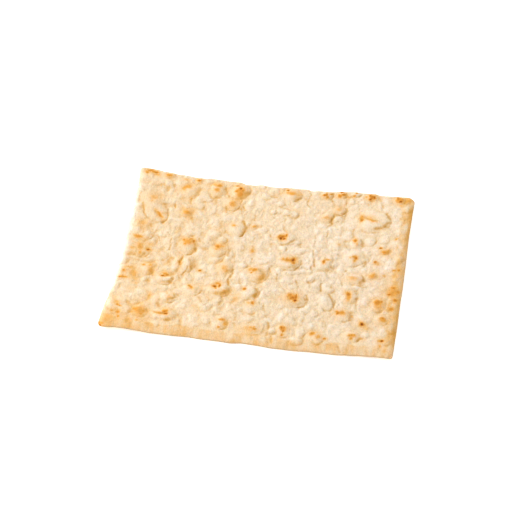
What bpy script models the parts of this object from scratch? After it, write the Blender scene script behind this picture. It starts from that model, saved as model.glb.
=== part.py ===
"""A rectangular blistered flatbread, lying on its underside.

Units are metres, +Z is up. The origin is at the middle of the bread's box, on the surface
it lies on. +X runs along the long side, and -Y is the long edge nearest the eye.
"""

import math
import random

import bmesh
import bpy
from mathutils import Vector

MM = 0.001

# Outline
LENGTH = 0.2408  # along X, between the cut sides
DEPTH = 0.185  # along Y
CORNER_RADII = {  # (side of X, side of Y): radius seen from above
    (-1, -1): 0.004,
    (-1, 1): 0.004,
    (1, -1): 0.002,
    (1, 1): 0.0065,
}

# The cut sides are uneven, in millimetres: at each place along a side, how far it stands out
# from its straight line
SIDES = {
    "left": (
        (-92.5, -2.6), (-86, -2.6), (-79, -2.8), (-72, -3.3), (-60, -4.3), (-45, -5.4), (-30, -5.5),
        (-10, -4.6), (10, -4.0), (30, -3.8), (48, -3.2), (63, -2.7), (78, -1.9), (92.5, -0.9),
    ),
    "right": (
        (-92.5, -0.3), (-80, 0), (-60, 0.3), (-38, 0.2), (-18, 0.5), (0, 0.4), (45, 0), (65, 0.3), (92.5, 0.9),
    ),
    "front": (
        (-121, 2.2), (-113, 1.7), (-104, 0.3), (-96, 0.1), (-86, 0.5), (-76, 1.1), (-60, 0.9),
        (-44, 0.4), (-34, 1.0), (-20, 1.1), (-10, 1.6), (0, 0.4), (10, 0.9), (24, 2.0), (43, 2.1),
        (52, 1.5), (66, 1.5), (75, 1.7), (84, 0.9), (100, 0.1), (108, -0.1), (121, 0.5),
    ),
    "back": (
        (-121, -0.3), (-104, -0.3), (-98, -1.1), (-92, -0.9), (-84, -1.9), (-78, -1.4), (-70, -2.1),
        (-63, -2.0), (-57, -0.6), (-48, -1.2), (-40, -1.7), (-31, -1.6), (-25, -3.8), (-19, -3.8),
        (-12, -2.1), (-4, -3.2), (2, -3.2), (10, -2.2), (18, -2.1), (27, -1.7), (33, -3.2), (39, -2.0),
        (48, -1.7), (58, -0.1), (69, 0.8), (76, 0), (86, 0), (91, -1.7), (100, -1.9), (110, -2.4),
        (121, -3.2),
    ),
}

# Thickness
CRUMB = 0.0028  # the bread between its blisters
RIM = 0.0015  # what the cutter left at the edge
RIM_BULGE = 0.0006  # how far the middle of the rim stands out
UNDER_TURN = 0.0004  # how far the underside lifts at the rim

# Along each side a band slopes down to the rim, and the cutter pressed its outer part flat
BANDS = {"left": 0.007, "right": 0.005, "front": 0.010, "back": 0.004}
PRESSED = {"left": 0.004, "right": 0.006, "front": 0.009, "back": 0.0015}
BAND_ROUNDNESS = 0.75  # below 1 the slope is fuller

# The two ends curl up; these are the heights of the corners above the table
FLAT_HALF = 0.040  # the underside is flat this far each side of the middle
CURL = {(-1, -1): 0.0030, (-1, 1): 0.0056, (1, -1): 0.0019, (1, 1): 0.0044}
CURL_POWER = 2.0

# Surface grid: cells below, and twice as many above
CELLS_X = 32
CELLS_Y = 25
CROWDING = 0.35  # how much closer the rows stand at the edges

# Chief blisters, in millimetres: middle x, y, long and short axis, turn in degrees, rise
CHIEF_BLISTERS = (
    (-99, 46, 40, 22, -59, 2.0), (-71, 71, 20, 17, 70, 1.8), (-49, 77, 20, 15, 80, 2.0),
    (-29, 78, 18, 16, 80, 2.6), (-34.5, 61.5, 15, 15, 80, 1.7), (-25, 33, 20, 16, -80, 1.8),
    (-62.5, 6, 21, 17, 80, 1.8), (-37, 5, 18, 14, 60, 1.6), (15, 80, 17, 16, 0, 1.6),
    (17, 28, 21, 16, -15, 2.0), (23, 0, 21, 18, -15, 2.0), (88, 58, 31, 27, -10, 2.6),
    (58, 67, 13, 10, 20, 1.6), (48, 57, 13, 12, 80, 1.3), (77, 12, 20, 18, 60, 1.8),
    (54, 2, 15, 13, 80, 1.9), (-90, -25, 17, 14, 80, 1.1), (-75, -34, 16, 14, -20, 1.4),
    (-59, -15, 25, 13, 80, 1.7), (-68, -17, 22, 9, 85, 1.4), (-98, -57, 29, 21, 0, 0.6),
    (-88, -73, 13, 13, 20, 1.5), (-68, -73, 23, 13, 5, 1.8), (-68, -54, 17, 12, 10, 1.6),
    (0, -17, 20, 18, -40, 1.9), (-27, -14, 19, 14, 80, 1.8), (-28, -38, 20, 16, -15, 1.8),
    (-3, -39, 17, 16, 60, 2.0), (33, -40.5, 22, 18, -20, 1.8), (1, -54, 17, 15, 80, 0.9),
    (-21, -75, 15, 13, 80, 1.5), (6, -78, 18, 13, 0, 0.8), (30, -76, 14, 12, 90, 1.5),
    (81, -12, 17, 12, -10, 2.0), (79, -32, 16, 13, 70, 1.5), (103, -38, 16, 12, 85, 1.5),
    (60, -40, 20, 14, -60, 1.6), (75, -53, 17, 12, -15, 1.4), (57, -80, 15, 12, -30, 0.9),
    (85, -75, 14, 12, 0, 1.6), (107, -54, 13, 12, 0, 1.6), (-66, 85, 8, 6, 0, 0.9),
    (-70, 44, 11, 9, 20, 1.3), (-11, 37, 8, 6, 0, 1.0), (63, 25, 12, 10, 60, 1.2),
    (77, 30, 14, 11, 60, 1.7), (95, -7, 9, 8, 0, 1.2), (-50, -43, 16, 13, 0, 1.5),
    (102, 22, 10, 8, 20, 0.7), (45, 84, 12, 10, 0, 1.6), (58, 86, 10, 8, 0, 1.4),
    (84, 86, 12, 9, 0, 1.6), (108, 84, 11, 9, 0, 1.6), (92, -60, 9, 7, 0, 0.9), (-93, 86, 9, 7, 0, 1.0),
    (70, 88, 8, 6, 0, 1.2),
)
BLISTER_DOME = 0.9  # below 1 a blister stands steeper at its foot

# Where the top of a blister sank back: middle x, y, long and short axis, turn, depth
DENTS = (
    (15, 28, 9, 9, 0, 1.2), (25, 2, 14, 6, -5, 0.9), (33, -39, 12, 11, 0, 1.3),
    (84, 60, 18, 8, -10, 1.1), (78.6, 58, 4, 8, 0, 0.6), (-94, 39, 12, 4, -50, 0.8),
    (-68, -72.5, 12, 4, 0, 1.0), (-31, -36, 8, 7, 0, 1.0), (-74.5, -31, 8, 4, 10, 0.9),
    (102.5, -36, 7, 7, 0, 0.4), (53.5, 4.5, 5, 6, 0, 0.5), (78.5, 12, 4, 8, 0, 0.5),
    (77.8, -31, 4, 10, 0, 0.6), (73, -51, 8, 4, 0, 0.6), (1.5, -50.5, 4, 4, 0, 0.4),
    (30.5, -77, 6, 9, 0, 0.8), (54, -76, 4, 3, 0, 0.4), (85, -75.5, 6, 7, 0, 0.4),
    (-51, -40.5, 6, 2.5, -50, 0.5), (63, 26, 5, 4, 0, 0.4),
)

# The places above are as they look from the front in a plane this far above the table
READ_AT = 0.0035
EYE_HEIGHT = math.radians(46)
EYE_SIDE = math.radians(8.7)

# Lesser blisters fill the space between the chief ones
LESSER_COUNT = 170
LESSER_RADIUS = (0.004, 0.008)
LESSER_RISE = (0.0002, 0.0007)
SEED = 11

CRUST_COLOUR = (0.86, 0.66, 0.42, 1.0)
CRUST_ROUGHNESS = 0.85


def clear_scene():
    for obj in list(bpy.data.objects):
        bpy.data.objects.remove(obj)


def clamp(value):
    return max(0.0, min(1.0, value))


def smooth(value):
    t = clamp(value)
    return t * t * (3 - 2 * t)


def crowded(u, half):
    """A row's place from its share u of the half side, with the rows closer at the edge."""
    return half * ((1 - CROWDING) * u + CROWDING * math.sin(0.5 * math.pi * u))


def inner_share(x, y, widths):
    """0 on the rim and 1 where the bands along the four sides end; the corners are round."""
    sideways = min((LENGTH / 2 + x) / widths["left"], (LENGTH / 2 - x) / widths["right"])
    lengthways = min((DEPTH / 2 + y) / widths["front"], (DEPTH / 2 - y) / widths["back"])
    return clamp(1 - math.hypot(1 - min(sideways, 1), 1 - min(lengthways, 1)))


def stands_out(side, along):
    """How far a side stands out at this place along it, eased between the places of its list."""
    places = SIDES[side]
    along = max(places[0][0] * MM, min(places[-1][0] * MM, along))
    for (start, first), (end, last) in zip(places, places[1:]):
        if along <= end * MM:
            return (first + (last - first) * smooth((along / MM - start) / (end - start))) * MM
    return places[-1][1] * MM


def outline(x, y):
    """Where a point of the flat rectangle lies once corners are round and the sides uneven."""
    half_x, half_y = LENGTH / 2, DEPTH / 2
    sides = (1 if x > 0 else -1, 1 if y > 0 else -1)
    radius = CORNER_RADII[sides]
    a = (abs(x) - (half_x - radius)) / radius
    b = (abs(y) - (half_y - radius)) / radius
    new_x, new_y = x, y
    if a > 0 and b > 0:
        new_x = sides[0] * (half_x - radius + radius * a * math.sqrt(1 - b * b / 2))
        new_y = sides[1] * (half_y - radius + radius * b * math.sqrt(1 - a * a / 2))
    side = "right" if x > 0 else "left"
    new_x += sides[0] * stands_out(side, y) * clamp(abs(x) / half_x) ** 3
    side = "back" if y > 0 else "front"
    new_y += sides[1] * stands_out(side, x) * clamp(abs(y) / half_y) ** 3
    return new_x, new_y


def curl(x, y):
    """Height of the underside: flat in the middle, rising towards both ends."""
    side = 1 if x > 0 else -1
    along = clamp((abs(x) - FLAT_HALF) / (LENGTH / 2 - FLAT_HALF)) ** CURL_POWER
    across = clamp(0.5 + y / DEPTH)
    corner = (1 - across) * CURL[(side, -1)] + across * CURL[(side, 1)]
    return along * corner


def lesser_blisters():
    """The same scatter each run, as (x, y, long half, short half, turn, rise)."""
    draw = random.Random(SEED)
    found = []
    for _ in range(LESSER_COUNT):
        x = draw.uniform(-0.5, 0.5) * LENGTH
        y = draw.uniform(-0.5, 0.5) * DEPTH
        radius = draw.uniform(*LESSER_RADIUS)
        squash = draw.uniform(0.7, 1.0)
        turn = draw.uniform(0, math.pi)
        found.append((x, y, radius, radius * squash, turn, draw.uniform(*LESSER_RISE)))
    return found


def lean(thickness):
    """How far a point at this thickness lies from where it seems to lie in the plane of the lists."""
    away = (thickness - READ_AT) / math.tan(EYE_HEIGHT)
    return away * math.sin(EYE_SIDE), -away * math.cos(EYE_SIDE)


def from_list(rows, part_of_height):
    """Rows in millimetres as (x, y, long half, short half, turn, height), moved to where they lie."""
    found = []
    for x, y, long, short, turn, height in rows:
        lean_x, lean_y = lean(CRUMB + part_of_height * height * MM)
        found.append(
            (x * MM + lean_x, y * MM + lean_y, long / 2 * MM, short / 2 * MM, math.radians(turn), height * MM)
        )
    return found


def oval_share(x, y, oval):
    """0 in the middle of a turned oval, 1 on its edge (squared)."""
    dx, dy = x - oval[0], y - oval[1]
    c, s = math.cos(oval[4]), math.sin(oval[4])
    return ((dx * c + dy * s) / oval[2]) ** 2 + ((dy * c - dx * s) / oval[3]) ** 2


def relief(x, y, blisters, dents):
    """Height of the blisters over a point; where two meet, the higher one all but hides the other."""
    piled = 0.0
    for blister in blisters:
        inside = 1 - oval_share(x, y, blister)
        if inside > 0:
            piled += (blister[5] * inside**BLISTER_DOME) ** 3
    height = piled ** (1 / 3)
    for dent in dents:
        height -= dent[5] * math.exp(-1.2 * oval_share(x, y, dent))
    return max(height, 0.0)


def slab():
    """A flat closed sheet: coarse below, twice as fine above, with a row of faces for its rim."""
    bm = bmesh.new()
    bmesh.ops.create_grid(bm, x_segments=CELLS_X, y_segments=CELLS_Y, size=0.5)
    under = list(bm.faces)
    made = bmesh.ops.extrude_face_region(bm, geom=under, use_keep_orig=True)
    upper = [v for v in made["geom"] if isinstance(v, bmesh.types.BMVert)]
    bmesh.ops.translate(bm, vec=(0, 0, 1), verts=upper)
    rim = [e for e in bm.edges if abs(e.verts[0].co.z - e.verts[1].co.z) > 0.5]
    bmesh.ops.subdivide_edges(bm, edges=rim, cuts=1)
    upper_edges = [e for e in bm.edges if min(v.co.z for v in e.verts) > 0.75]
    bmesh.ops.subdivide_edges(bm, edges=upper_edges, cuts=1, use_grid_fill=True)
    bmesh.ops.recalc_face_normals(bm, faces=bm.faces)
    return bm


def place(vert, blisters, dents):
    """Moves one vertex of the unit slab to its place on the bread."""
    level = vert.co.z
    x = crowded(2 * vert.co.x, LENGTH / 2)
    y = crowded(2 * vert.co.y, DEPTH / 2)
    new_x, new_y = outline(x, y)
    share = inner_share(x, y, BANDS)
    bend = curl(x, y)
    base = bend + UNDER_TURN * (1 - share) ** 2
    if level > 0.75:
        pillow = math.sin(0.5 * math.pi * share) ** BAND_ROUNDNESS
        bumps = relief(new_x, new_y, blisters, dents) * smooth(inner_share(x, y, PRESSED))
        height = bend + RIM + (CRUMB - RIM) * pillow + bumps
    elif level > 0.25:
        height = base + 0.5 * (RIM - UNDER_TURN)
    else:
        height = base
    if not 0.25 < level < 0.75:
        new_x *= 1 - 2 * RIM_BULGE / LENGTH
        new_y *= 1 - 2 * RIM_BULGE / DEPTH
    vert.co = Vector((new_x, new_y, height))


def centre(bm):
    """Sets the origin at the middle of the box, on the table."""
    lows = [min(v.co[i] for v in bm.verts) for i in range(3)]
    highs = [max(v.co[i] for v in bm.verts) for i in range(3)]
    shift = Vector((-(lows[0] + highs[0]) / 2, -(lows[1] + highs[1]) / 2, -lows[2]))
    bmesh.ops.translate(bm, vec=shift, verts=bm.verts)


def crust_material():
    material = bpy.data.materials.new("baked_crust")
    material.use_nodes = True
    shader = material.node_tree.nodes["Principled BSDF"]
    shader.inputs["Base Color"].default_value = CRUST_COLOUR
    shader.inputs["Roughness"].default_value = CRUST_ROUGHNESS
    shader.inputs["Metallic"].default_value = 0.0
    return material


def make_bread(collection):
    blisters = lesser_blisters() + from_list(CHIEF_BLISTERS, 0.6)
    dents = from_list(DENTS, 0.0)
    bm = slab()
    for vert in bm.verts:
        place(vert, blisters, dents)
    centre(bm)
    bmesh.ops.triangulate(bm, faces=bm.faces)
    mesh = bpy.data.meshes.new("flatbread")
    bm.to_mesh(mesh)
    bm.free()
    mesh.shade_smooth()
    mesh.materials.append(crust_material())
    collection.objects.link(bpy.data.objects.new("flatbread", mesh))


def main():
    clear_scene()
    collection = bpy.data.collections.new("flatbread")
    bpy.context.scene.collection.children.link(collection)
    make_bread(collection)


main()
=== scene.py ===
import math

import bmesh
import bpy
import numpy as np
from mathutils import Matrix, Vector


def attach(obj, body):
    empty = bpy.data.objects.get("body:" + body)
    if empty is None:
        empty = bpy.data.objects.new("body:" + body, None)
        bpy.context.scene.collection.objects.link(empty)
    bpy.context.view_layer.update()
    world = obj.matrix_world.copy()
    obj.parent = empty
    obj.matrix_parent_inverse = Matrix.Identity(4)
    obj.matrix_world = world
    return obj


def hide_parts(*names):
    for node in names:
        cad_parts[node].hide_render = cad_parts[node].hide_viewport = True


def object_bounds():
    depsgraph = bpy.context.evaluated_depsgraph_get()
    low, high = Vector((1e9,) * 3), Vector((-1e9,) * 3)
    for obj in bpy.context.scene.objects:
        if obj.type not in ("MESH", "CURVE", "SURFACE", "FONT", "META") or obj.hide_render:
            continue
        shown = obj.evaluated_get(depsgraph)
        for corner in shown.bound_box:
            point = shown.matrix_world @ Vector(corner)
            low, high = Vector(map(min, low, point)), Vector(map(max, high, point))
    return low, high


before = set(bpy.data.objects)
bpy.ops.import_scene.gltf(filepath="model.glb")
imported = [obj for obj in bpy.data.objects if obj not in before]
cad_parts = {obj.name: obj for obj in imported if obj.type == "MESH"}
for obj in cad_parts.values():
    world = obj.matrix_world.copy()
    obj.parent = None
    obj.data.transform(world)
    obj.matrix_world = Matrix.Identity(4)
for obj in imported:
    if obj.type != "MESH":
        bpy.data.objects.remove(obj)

cadLow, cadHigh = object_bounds()
mm = 0.001


# sRGB hex to the linear values that Blender's colour sockets take
def linear(hexColour):
    parts = [int(hexColour[i:i + 2], 16) / 255 for i in (1, 3, 5)]
    return [p / 12.92 if p <= 0.04045 else ((p + 0.055) / 1.055) ** 2.4 for p in parts] + [1.0]


# How often a pattern repeats in a metre, from the size of one grain in mm
def perMetre(size):
    return 1 / (size * mm)


# Adds a node, sets its properties, then sets or links its inputs, which go by name or number
def addNode(tree, kind, inputs=None, **settings):
    node = tree.nodes.new(kind)
    for name, value in settings.items():
        setattr(node, name, value)
    for name, value in (inputs or {}).items():
        if isinstance(value, bpy.types.NodeSocket):
            tree.links.new(value, node.inputs[name])
        else:
            node.inputs[name].default_value = value
    return node


# 0 below 0 and 1 above 1, with a soft step between
def ease(t):
    t = np.clip(t, 0, 1)
    return t * t * (3 - 2 * t)


# 0 at the start and before it, 1 at the end and beyond, either way along the values
def between(value, start, end):
    return ease((value - start) / (end - start))


# A long lens, 46 degrees above the table, standing a little to the right
view = {
    "target": (3.7, -2.5, 0.0),  # mm, the middle of the picture
    "distance": 1482.6,  # mm
    "height": 46.0,  # degrees above the horizon
    "toTheRight": 8.7,  # degrees
    "lens": 121.0,  # mm
    "sensor": 36.0,  # mm
}


def addCamera():
    data = bpy.data.cameras.new("camera")
    data.lens = view["lens"]
    data.sensor_width = view["sensor"]
    camera = bpy.data.objects.new("camera", data)
    bpy.context.scene.collection.objects.link(camera)
    side, up = math.radians(view["toTheRight"]), math.radians(view["height"])
    back = Vector((math.sin(side) * math.cos(up), -math.cos(side) * math.cos(up), math.sin(up)))
    target = Vector(view["target"]) * mm
    camera.location = target + back * view["distance"] * mm
    camera.rotation_euler = (-back).to_track_quat("-Z", "Y").to_euler()
    bpy.context.scene.camera = camera
    print("camera placed")


studio = {
    "floor": "#ffffff",
    "floorSize": 6.0,  # m
    "floorRoughness": 0.9,
    "floorGloss": 0.2,
    "floorGlow": 0.5,  # the board is lit from below too, which washes out the shadows on it
    "world": "#ffffff",
    "worldStrength": 0.75,
    "keyFrom": (-0.94, 0.22, 0.66),  # direction that the main light comes from
    "keyAway": 1.4,  # m
    "keySize": 0.9,  # m
    "keyPower": 19.5,  # W
    "keyColour": "#fffaf2",
}


def addStudio():
    scene = bpy.context.scene
    scene.view_settings.view_transform = "Standard"
    world = bpy.data.worlds.new("softStudio")
    world.use_nodes = True
    background = world.node_tree.nodes["Background"]
    background.inputs["Color"].default_value = linear(studio["world"])
    background.inputs["Strength"].default_value = studio["worldStrength"]
    scene.world = world

    # Matt white painted board: gives the eye an even pale ground with no gloss
    paint = bpy.data.materials.new("mattWhiteBoard")
    paint.use_nodes = True
    shader = paint.node_tree.nodes["Principled BSDF"]
    shader.inputs["Base Color"].default_value = linear(studio["floor"])
    shader.inputs["Roughness"].default_value = studio["floorRoughness"]
    shader.inputs["Specular IOR Level"].default_value = studio["floorGloss"]
    shader.inputs["Emission Color"].default_value = linear(studio["floor"])
    shader.inputs["Emission Strength"].default_value = studio["floorGlow"]
    bpy.ops.object.select_all(action="DESELECT")
    bpy.ops.mesh.primitive_plane_add(size=studio["floorSize"], location=(0, 0, cadLow.z))
    floor = bpy.context.object
    floor.name = "floor"
    floor.data.materials.append(paint)

    data = bpy.data.lights.new("windowLight", "AREA")
    data.shape = "DISK"
    data.size = studio["keySize"]
    data.energy = studio["keyPower"]
    data.color = linear(studio["keyColour"])[:3]
    lamp = bpy.data.objects.new("windowLight", data)
    scene.collection.objects.link(lamp)
    toLight = Vector(studio["keyFrom"]).normalized()
    lamp.location = toLight * studio["keyAway"]
    lamp.rotation_euler = (-toLight).to_track_quat("-Z", "Y").to_euler()
    print("floor and light placed")


# The bread's form, in mm. Waves are (height, spacing, seed) or only (spacing, seed)
bread = {
    "length": 240.8,  # between the cut sides
    "depth": 185.0,
    # Each cut side is uneven: places along it, and how far it stands out there
    "left": (
        (-93, -2.6), (-86, -2.6), (-79, -2.8), (-72, -3.3), (-60, -4.3), (-45, -5.4), (-30, -5.5),
        (-10, -4.6), (10, -4.0), (30, -3.8), (48, -3.2), (63, -2.7), (78, -1.9), (92.5, -0.9),
    ),
    "right": (
        (-93, -0.3), (-80, 0), (-60, 0.3), (-38, 0.2), (-18, 0.5), (0, 0.4), (45, 0), (65, 0.3),
        (92.5, 0.9),
    ),
    "front": (
        (-121, 2.2), (-113, 1.7), (-104, 0.3), (-96, 0.1), (-86, 0.5), (-76, 1.1), (-60, 0.9), (-44, 0.4),
        (-34, 1.0), (-20, 1.1), (-10, 1.6), (0, 0.4), (10, 0.9), (24, 2.0), (43, 2.1), (52, 1.5), (66, 1.5),
        (75, 1.7), (84, 0.9), (100, 0.1), (108, -0.1), (121, 0.5),
    ),
    "back": (
        (-121, -0.3), (-104, -0.3), (-98, -1.1), (-92, -0.9), (-84, -1.9), (-78, -1.4), (-70, -2.1),
        (-63, -2.0), (-57, -0.6), (-48, -1.2), (-40, -1.7), (-31, -1.6), (-25, -3.8), (-19, -3.8),
        (-12, -2.1), (-4, -3.2), (2, -3.2), (10, -2.2), (18, -2.1), (27, -1.7), (33, -3.2), (39, -2.0),
        (48, -1.7), (58, -0.1), (69, 0.8), (76, 0), (86, 0), (91, -1.7), (100, -1.9), (110, -2.4),
        (121, -3.2),
    ),
    "unevenIn": 3,  # the higher, the sooner the sides' unevenness dies away inwards
    "corners": {(-1, -1): 4.0, (-1, 1): 4.0, (1, -1): 2.0, (1, 1): 6.5},  # radius seen from above
    "crumb": 2.8,  # thickness between the blisters
    "rim": 1.5,  # thickness at the cut side
    "rimRound": 0.42,  # its rounding, as a share of that
    "bands": {"left": 7.0, "right": 5.0, "front": 10.0, "back": 4.0},  # bands that slope to the rim
    "fullness": 0.5,  # below 1 the bands are rounder
    "pressed": {"left": 4.0, "right": 6.0, "front": 9.0, "back": 1.5},  # no blister this close to a side
    "underTurn": 0.4,  # the underside lifts by this at the rim
    "flatHalf": 40.0,  # the middle lies flat this far to each side
    "curl": {(-1, -1): 3.0, (-1, 1): 5.6, (1, -1): 1.9, (1, 1): 4.4},  # how high each corner curls
    "cells": (108, 83),  # cells of the underside, three times as many above
    "readAt": 3.5,  # the lists below hold for a plane this far above the table
    "seed": 11,
    # The smaller blisters: how many, long axis, rise, and how much shorter they are at the back right
    "small": ((170, (9, 15), (0.3, 1.1), 3.0), (210, (5, 8), (0.15, 0.45), 0.0)),
    "smallShape": (0.7, 1.0),  # their short axis for each mm of the long one
    "clearance": 1.3,  # their middles stay out of the big ones by this (1 is the outline)
    "wanderX": ((1.3, 9, 21), (0.45, 4, 22)),  # dough has no true ovals, so outlines wander
    "wanderY": ((1.3, 9, 23), (0.45, 4, 24)),
    "outlineAt": 0.6,  # a blister's outline is seen at this share of its rise
    "swell": 0.82,  # scales the rise of every blister
    "dome": 0.95,  # below 1 a blister stands steeper at its foot
    "blend": 6,  # the higher, the less do blisters or spots that overlap add up
    "skinEdge": 1.15,  # a blister's stretched skin ends here (1 is its outline)
    "skinFade": 1.4,  # and this sharply
    "skinRise": 2.0,  # a blister this high is all stretched skin
    "footAt": 1.02,  # where the furrow round a blister runs (1 is its outline)
    "footWidth": 0.75,
    "footDepth": 0.34,
    "footRise": 1.2,  # a blister this high has the full furrow
    "footAllRound": 0.1,  # this share of it runs all round, the rest on the lee side
    "footGaps": (8, 72),  # waves that leave gaps in the furrows
    "footRange": (-0.65, 0.35),  # none below the first, a full one above the second
    "dentAt": 1.4,  # the dents are seen this far above the crumb
    "dentSharp": 1.2,
    "puffs": (9, 31),  # soft lumps between the blisters
    "puffHeight": (0.7, 0.45),  # of those at the front left and at the back right
    "folds": ((0.5, 5, 32), (0.22, 2.2, 33)),  # finer ones
    "foldStretch": 0.8,  # the roller stretched the dough along Y, so its folds run that way
    "crumpled": ((40, -5), (60, 50), 0.5),  # where the folds are deepest: middle, reach, by how much
    "foldsLostOnSkin": 0.85,
    "swells": ((0.3, 14, 42),),  # long low waves
    "diagonal": (-80, 80),  # x + y where the front left ends and the back right begins
    "frontSmooth": (-74, -83, 0.7),  # the cutter smoothed the band from y to y, by this
    "streaks": (0.12, 2.4, 43),  # left by the roller in the front band
    "streakLength": 0.12,  # the lower, the longer
    "streaksFrom": (-70, -85),  # y where they begin and where they are full
    "broken": (0.75, ((0.5, 3, 71),)),  # no crease is as deep all along: mean, and its waves
    "creaseDepth": 0.45,
    "creaseSharp": 4.0,
    "creaseWarmth": 1.6,  # the lower, the further its golden colour and painted shade spread
    "creaseFull": 1.5,  # a crease wider than this is shallower
    "wrinkles": (4.5, 81),  # short ones where the dough was stretched
    "wrinkleStretch": 0.4,
    "wrinkleWidth": 0.09,
    "wrinkleGaps": (9, 82),
    "wrinkleRange": (-0.3, 0.7),
    "wrinkleShare": 0.5,
    "wrinkleDepth": 0.25,
}

# Blisters listed one by one: middle x, y, long and short axis, turn in degrees, rise
bigBlisters = (
    (-99, 46, 40, 22, -59, 1.7), (-71, 71, 20, 17, 70, 1.5), (-49, 77, 20, 15, 80, 2.0),
    (-29, 78, 18, 16, 80, 2.6), (-34.5, 61.5, 15, 15, 80, 1.7), (-25, 33, 20, 16, -80, 1.8),
    (-62.5, 6, 21, 17, 80, 1.8), (-37, 5, 18, 14, 60, 1.6), (15, 80, 17, 16, 0, 1.6),
    (17, 28, 21, 16, -15, 2.0), (23, 0, 21, 18, -15, 2.0), (88, 58, 31, 27, -10, 2.6),
    (58, 67, 13, 10, 20, 1.6), (48, 57, 13, 12, 80, 1.3), (77, 12, 20, 18, 60, 1.8),
    (54, 2, 15, 13, 80, 1.9), (-90, -25, 17, 14, 80, 0.8), (-75, -34, 16, 14, -20, 1.4),
    (-59, -15, 25, 13, 80, 1.7), (-68, -17, 22, 9, 85, 1.4), (-98, -57, 29, 21, 0, 0.6),
    (-88, -73, 13, 13, 20, 1.5), (-68, -73, 23, 13, 5, 1.8), (-68, -54, 17, 12, 10, 1.6),
    (0, -17, 20, 18, -40, 1.9), (-27, -14, 19, 14, 80, 1.8), (-28, -38, 20, 16, -15, 1.8),
    (-3, -39, 17, 16, 60, 2.0), (33, -40.5, 22, 18, -20, 1.8), (1, -54, 17, 15, 80, 0.9),
    (-21, -75, 15, 13, 80, 1.0), (6, -78, 18, 13, 0, 0.8), (30, -76, 14, 12, 90, 1.5),
    (81, -12, 17, 12, -10, 2.0), (79, -32, 16, 13, 70, 1.5), (103, -38, 16, 12, 85, 1.5),
    (60, -40, 20, 14, -60, 1.6), (75, -53, 17, 12, -15, 1.4), (57, -80, 15, 12, -30, 0.9),
    (85, -75, 14, 12, 0, 1.6), (107, -54, 13, 12, 0, 1.6), (-66, 85, 8, 6, 0, 0.9),
    (-70, 44, 11, 9, 20, 1.3), (-11, 37, 8, 6, 0, 1.0), (63, 25, 12, 10, 60, 1.2),
    (77, 30, 14, 11, 60, 1.7), (95, -7, 9, 8, 0, 1.2), (-50, -43, 16, 13, 0, 1.1),
    (102, 22, 10, 8, 20, 0.7), (45, 84, 12, 10, 0, 1.6), (58, 86, 10, 8, 0, 1.4), (84, 86, 12, 9, 0, 1.6),
    (108, 84, 11, 9, 0, 1.6), (92, -60, 9, 7, 0, 0.9), (-93, 86, 9, 7, 0, 1.0), (70, 88, 8, 6, 0, 1.2),
)

# Where the top of a blister sank back: middle x, y, long and short axis, turn, depth
dents = (
    (15, 28, 9, 9, 0, 1.2), (25, 2, 14, 6, -5, 0.9), (33, -39, 12, 11, 0, 1.3), (84, 60, 18, 8, -10, 1.1),
    (78.6, 58, 4, 8, 0, 0.6), (-94, 39, 12, 4, -50, 0.8), (-68, -72.5, 12, 4, 0, 1.0),
    (-31, -36, 8, 7, 0, 1.0), (-74.5, -31, 8, 4, 10, 0.9), (102.5, -36, 7, 7, 0, 0.4),
    (53.5, 4.5, 5, 6, 0, 0.5), (78.5, 12, 4, 8, 0, 0.5), (77.8, -31, 4, 10, 0, 0.6),
    (73, -51, 8, 4, 0, 0.6), (1.5, -50.5, 4, 4, 0, 0.4), (30.5, -77, 6, 9, 0, 0.8), (54, -76, 4, 3, 0, 0.4),
    (85, -75.5, 6, 7, 0, 0.4), (-51, -40.5, 6, 2.5, -50, 0.5), (63, 26, 5, 4, 0, 0.4),
)
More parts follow.
